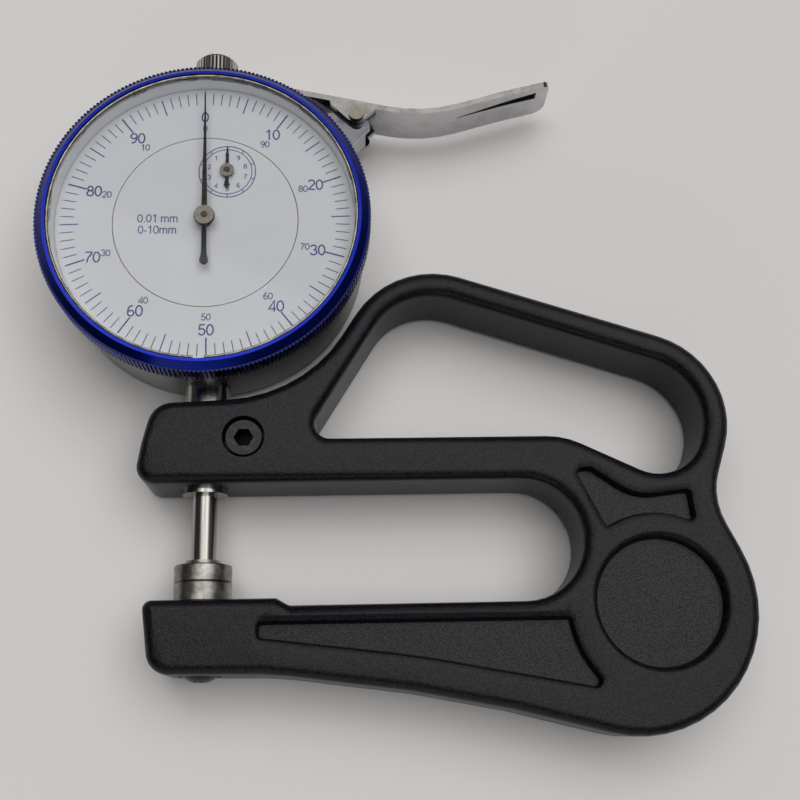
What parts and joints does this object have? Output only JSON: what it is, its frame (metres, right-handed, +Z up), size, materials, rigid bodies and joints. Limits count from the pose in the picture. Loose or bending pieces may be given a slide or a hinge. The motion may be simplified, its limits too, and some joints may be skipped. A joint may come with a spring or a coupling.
{
  "type": "dial thickness gauge",
  "caption": "Hand-held dial thickness gauge: cast frame with throat and finger loop, plunger dial with geared pointers, flat contact and anvil, lift lever.",
  "frame": {"origin": "on the frame's back face, under the spindle axis, half-way up the arm that clamps the stem", "axes": "X along the throat away from the spindle, Y along the spindle towards the lift cap, Z up out of the dial"},
  "size_m": [0.1246, 0.1306, 0.0218],
  "materials": {
    "frame_paint": "fine wrinkle paint, matt black",
    "ground_steel": "ground",
    "black_oxide": "black oxide",
    "polished_steel": "polished",
    "knurled_steel": "turned and knurled",
    "screw_steel": "turned",
    "spring_steel": "drawn",
    "case_satin": "satin",
    "bezel_blue": "blue anodised",
    "brass": "milled",
    "nickel": "nickel plated",
    "ring_gold": "drawn wire",
    "dial_white": "satin white with indigo print",
    "pointer_black": "black",
    "chrome": "chrome plated",
    "crystal": "clear"
  },
  "bodies": {
    "body": {"frame": "frame_paint", "anvil": "ground_steel", "anvil_screw": "black_oxide", "clamp_screw": "black_oxide", "stem": "polished_steel", "stem_bush": "polished_steel", "case": "case_satin", "case_back": "case_satin", "back_screws": "screw_steel", "top_bush": "polished_steel", "base_plate": "brass", "plate_screws": "screw_steel", "pillars": "brass", "top_plate": "brass", "pinion_cock": "brass", "guide_block": "brass", "spring_post": "screw_steel", "hairspring_stud": "screw_steel", "dial_disc": "dial_white", "lever_bracket": "chrome", "bracket_screws": "screw_steel", "lever_pin": "nickel"},
    "bezel_group": {"bezel": "bezel_blue", "crystal": "crystal", "snap_ring": "ring_gold", "dial_ring": "dial_white"},
    "spindle_group": {"spindle": "polished_steel", "contact": "ground_steel", "lift_cap": "knurled_steel", "guide_pin": "screw_steel"},
    "drive_group": {"rack_pinion": "brass", "drive_gear": "brass"},
    "pointer_group": {"centre_pinion": "brass", "main_pointer": "pointer_black", "pointer_hub": "nickel"},
    "counter_group": {"counter_gear": "brass", "counter_pointer": "pointer_black", "counter_hub": "nickel", "hairspring": "spring_steel"},
    "spring_group": {"return_spring": "spring_steel"},
    "lever_group": {"lift_lever": "chrome"}
  },
  "joints": [
    {"name": "spindle_slide", "type": "slide", "parent": "body", "child": "spindle_group", "axis": [0, 1, 0], "range_m": [0, 0.01], "stiffness_N_per_m": 60, "springref_m": -0.015},
    {"name": "drive_turn", "type": "hinge", "parent": "body", "child": "drive_group", "pos_m": [-0.00334, 0.0301, 0.0075], "axis": [0, 0, 1], "range_deg": [0, 360]},
    {"name": "pointer_turn", "type": "hinge", "parent": "body", "child": "pointer_group", "pos_m": [0, 0.04, 0.0075], "axis": [0, 0, 1], "range_deg": [-3600, 0]},
    {"name": "counter_turn", "type": "hinge", "parent": "body", "child": "counter_group", "pos_m": [0.00369, 0.04978, 0.0075], "axis": [0, 0, 1], "range_deg": [0, 360]},
    {"name": "spring_turn", "type": "hinge", "parent": "body", "child": "spring_group", "pos_m": [0.0177, 0.0521, 0.0075], "axis": [0, 0, 1], "range_deg": [-45.4, 0]},
    {"name": "lever_turn", "type": "hinge", "parent": "body", "child": "lever_group", "pos_m": [0.02748, 0.06492, 0.0075], "axis": [0, 0, 1], "range_deg": [-18.5, 0]},
    {"name": "bezel_turn", "type": "hinge", "parent": "body", "child": "bezel_group", "pos_m": [0, 0.04, 0.0176], "axis": [0, 0, 1], "continuous": true}
  ],
  "couplings": [
    {"joint": "drive_turn", "follows": "spindle_slide", "rad_per_m": 628.32},
    {"joint": "pointer_turn", "follows": "spindle_slide", "rad_per_m": -6283.2},
    {"joint": "counter_turn", "follows": "spindle_slide", "rad_per_m": 628.32},
    {"joint": "spring_turn", "follows": "spindle_slide", "rad_per_m": -79.2},
    {"joint": "lever_turn", "follows": "spindle_slide", "rad_per_m": -32.2}
  ]
}
